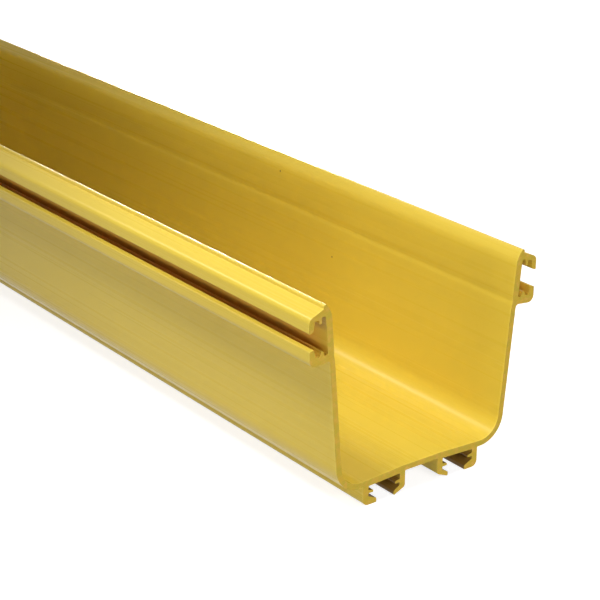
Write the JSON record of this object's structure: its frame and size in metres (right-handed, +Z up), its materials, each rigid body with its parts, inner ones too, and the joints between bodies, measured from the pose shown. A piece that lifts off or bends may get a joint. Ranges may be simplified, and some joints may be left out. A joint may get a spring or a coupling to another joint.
{
  "type": "fibre raceway straight section",
  "caption": "Straight open-top cable raceway channel with leaning walls, outward hooks along both wall tops and lipped bracket slots under the floor.",
  "frame": {"origin": "middle of the length, on the plane that the rails stand on, under the section's centre line", "axes": "+X across the channel, +Y along its length, +Z up out of the open top"},
  "size_m": [0.1228, 1.829, 0.096],
  "materials": {
    "yellow_plastic": "smooth semi-gloss extruded plastic with faint drawing lines along its length"
  },
  "bodies": {
    "root": {"raceway_channel": "yellow_plastic"}
  },
  "joints": []
}
